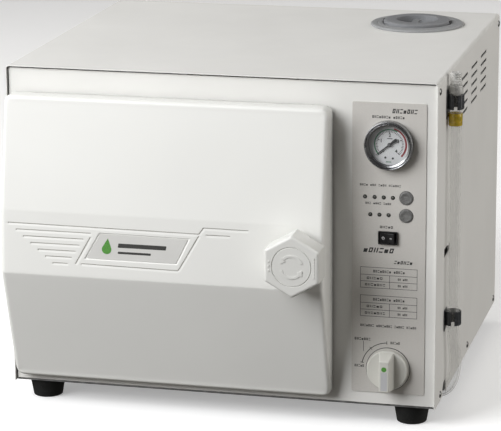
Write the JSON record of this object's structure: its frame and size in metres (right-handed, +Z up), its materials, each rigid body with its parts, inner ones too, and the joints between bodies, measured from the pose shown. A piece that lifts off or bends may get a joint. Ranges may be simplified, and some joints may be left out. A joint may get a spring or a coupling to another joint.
{
  "type": "benchtop autoclave",
  "caption": "Benchtop steam steriliser with hinged sloping door cover, hexagonal lock knob, side control panel with gauge, filler lid on top and drain hose on the side.",
  "frame": {"origin": "centre of the overall footprint on the surface it stands on, with the door closed", "axes": "+Z up, -Y out of the front (door and control panel), +X to the right when facing the front"},
  "size_m": [0.498, 0.511, 0.391],
  "materials": {
    "white_paint": "satin powder coat, fine orange-peel",
    "galvanised_sheet": "galvanised sheet",
    "door_plastic": "semi-gloss moulded plastic",
    "silver_film": "printed silver-grey film, fine texture",
    "grey_plastic": "moulded mid-grey plastic",
    "dark_plastic": "moulded dark plastic",
    "black_plastic": "black moulded plastic",
    "black_rubber": "moulded rubber",
    "knob_plastic": "cream moulded plastic",
    "stainless": "brushed stainless steel",
    "chrome_ring": "bright chrome plate",
    "brass_fitting": "machined brass",
    "amber_ring": "amber moulded collar",
    "clear_tube": "clear flexible tube",
    "silicone_seal": "moulded silicone",
    "insulation_wool": "mineral wool blanket",
    "circuit_board": "soldered board",
    "dial_face": "white printed dial",
    "tank_plastic": "translucent moulded tank",
    "lamp_lens": "diffused lamp lens, unlit"
  },
  "bodies": {
    "cabinet": {"outer_cover": "white_paint", "base_pan": "galvanised_sheet", "front_panel": "white_paint", "rear_panel": "white_paint", "foot_front_left": "black_rubber", "foot_front_right": "black_rubber", "foot_rear_left": "black_rubber", "foot_rear_right": "black_rubber", "chamber": "stainless", "heater_band": "stainless", "insulation_jacket": "insulation_wool", "safety_valve": "brass_fitting", "tray_rack": "stainless", "tray_lower": "stainless", "tray_upper": "stainless", "water_reservoir": "tank_plastic", "filler_rim": "grey_plastic", "valve_body": "brass_fitting", "solenoid_valve": "brass_fitting", "power_supply": "dark_plastic", "fill_pipe": "clear_tube", "chamber_pipe": "brass_fitting", "gauge_pipe": "brass_fitting", "control_overlay": "silver_film", "control_board": "circuit_board", "indicator_lamp_1": "lamp_lens", "indicator_lamp_2": "lamp_lens", "indicator_lamp_3": "lamp_lens", "indicator_lamp_4": "lamp_lens", "indicator_lamp_5": "lamp_lens", "indicator_lamp_6": "lamp_lens", "indicator_lamp_7": "lamp_lens", "switch_housing": "black_plastic", "gauge_case": "black_plastic", "gauge_bezel": "chrome_ring", "gauge_dial": "dial_face", "gauge_lens": "clear_tube", "hinge_bracket": "stainless", "hinge_pin": "stainless", "latch_nut": "stainless", "drain_hose": "clear_tube", "hose_clip_upper": "dark_plastic", "hose_clip_lower": "dark_plastic", "hose_collar": "amber_ring", "power_inlet": "black_plastic"},
    "door": {"door_beam": "stainless", "door_lid": "stainless", "door_gasket": "silicone_seal", "door_cover": "door_plastic", "door_emblem": "silver_film"},
    "lock_carriage": {"thrust_washer": "stainless"},
    "lock_screw": {"lock_knob": "door_plastic", "lock_spindle": "stainless"},
    "needle": {"gauge_pointer": "black_plastic"},
    "valve_handle": {"valve_knob": "knob_plastic"},
    "power_rocker": {"rocker": "black_plastic"},
    "upper_key": {"button_upper": "grey_plastic"},
    "lower_key": {"button_lower": "grey_plastic"},
    "filler_lid": {"reservoir_cap": "grey_plastic"},
    "hose_stopper": {"hose_plug": "clear_tube"}
  },
  "joints": [
    {"name": "door_swing", "type": "hinge", "parent": "cabinet", "child": "door", "pos_m": [-0.233, -0.1925, 0.198], "axis": [0, 0, -1], "range_deg": [0, 105]},
    {"name": "lock_travel", "type": "slide", "parent": "door", "child": "lock_carriage", "axis": [0, -1, 0], "range_m": [0, 0.0061]},
    {"name": "lock_turn", "type": "hinge", "parent": "lock_carriage", "child": "lock_screw", "pos_m": [0.091, -0.2405, 0.198], "axis": [0, -1, 0], "range_deg": [0, 1080]},
    {"name": "needle_swing", "type": "hinge", "parent": "cabinet", "child": "needle", "pos_m": [0.179, -0.1735, 0.3155], "axis": [0, 1, 0], "range_deg": [0, 270], "stiffness_Nm_per_rad": 0.002},
    {"name": "valve_turn", "type": "hinge", "parent": "cabinet", "child": "valve_handle", "pos_m": [0.179, -0.1785, 0.0654], "axis": [0, -1, 0], "range_deg": [0, 90]},
    {"name": "rocker_tilt", "type": "hinge", "parent": "cabinet", "child": "power_rocker", "pos_m": [0.178, -0.169, 0.213], "axis": [0, 0, 1], "range_deg": [0, 14]},
    {"name": "upper_key_press", "type": "slide", "parent": "cabinet", "child": "upper_key", "axis": [0, 1, 0], "range_m": [0, 0.0012], "stiffness_N_per_m": 250},
    {"name": "lower_key_press", "type": "slide", "parent": "cabinet", "child": "lower_key", "axis": [0, 1, 0], "range_m": [0, 0.0012], "stiffness_N_per_m": 250},
    {"name": "filler_lid_lift", "type": "slide", "parent": "cabinet", "child": "filler_lid", "axis": [0, 0, 1], "range_m": [0, 0.06]},
    {"name": "hose_stopper_pull", "type": "slide", "parent": "cabinet", "child": "hose_stopper", "axis": [0, 0, 1], "range_m": [0, 0.03]}
  ],
  "couplings": [
    {"joint": "lock_travel", "follows": "lock_turn", "m_per_rad": 0.0003183}
  ]
}
